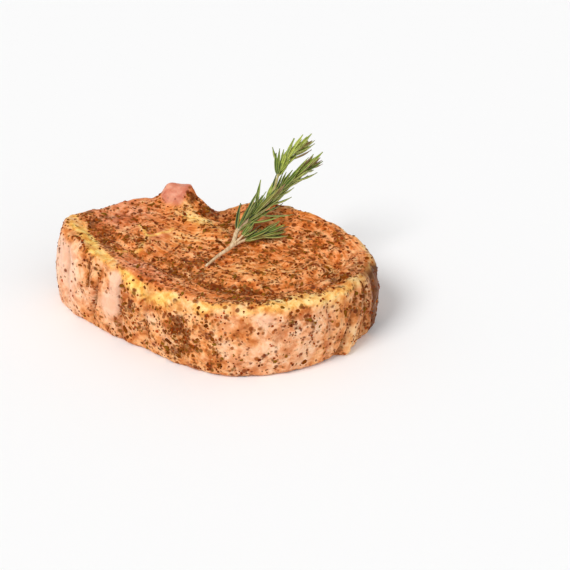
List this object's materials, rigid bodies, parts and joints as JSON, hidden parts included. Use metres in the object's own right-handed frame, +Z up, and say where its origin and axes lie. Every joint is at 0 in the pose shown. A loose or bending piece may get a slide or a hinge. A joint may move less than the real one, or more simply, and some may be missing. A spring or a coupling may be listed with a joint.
{
  "type": "raw pork chop",
  "caption": "Thick boneless raw pork chop with a seasoned, oiled surface, a rim of fat and a sprig of rosemary resting on top.",
  "frame": {"origin": "in the flat underside, near the middle of the chop's plan", "axes": "+X along the chop towards its thin end, +Y away from the broad front wall of fat, +Z up"},
  "size_m": [0.1702, 0.1343, 0.0745],
  "materials": {
    "seasoned_pork": "moist, lightly oiled raw meat with specks of herb and pepper",
    "rosemary": "satin leaf"
  },
  "bodies": {
    "root": {"chop": "seasoned_pork", "rosemary_sprig": "rosemary"}
  },
  "joints": []
}
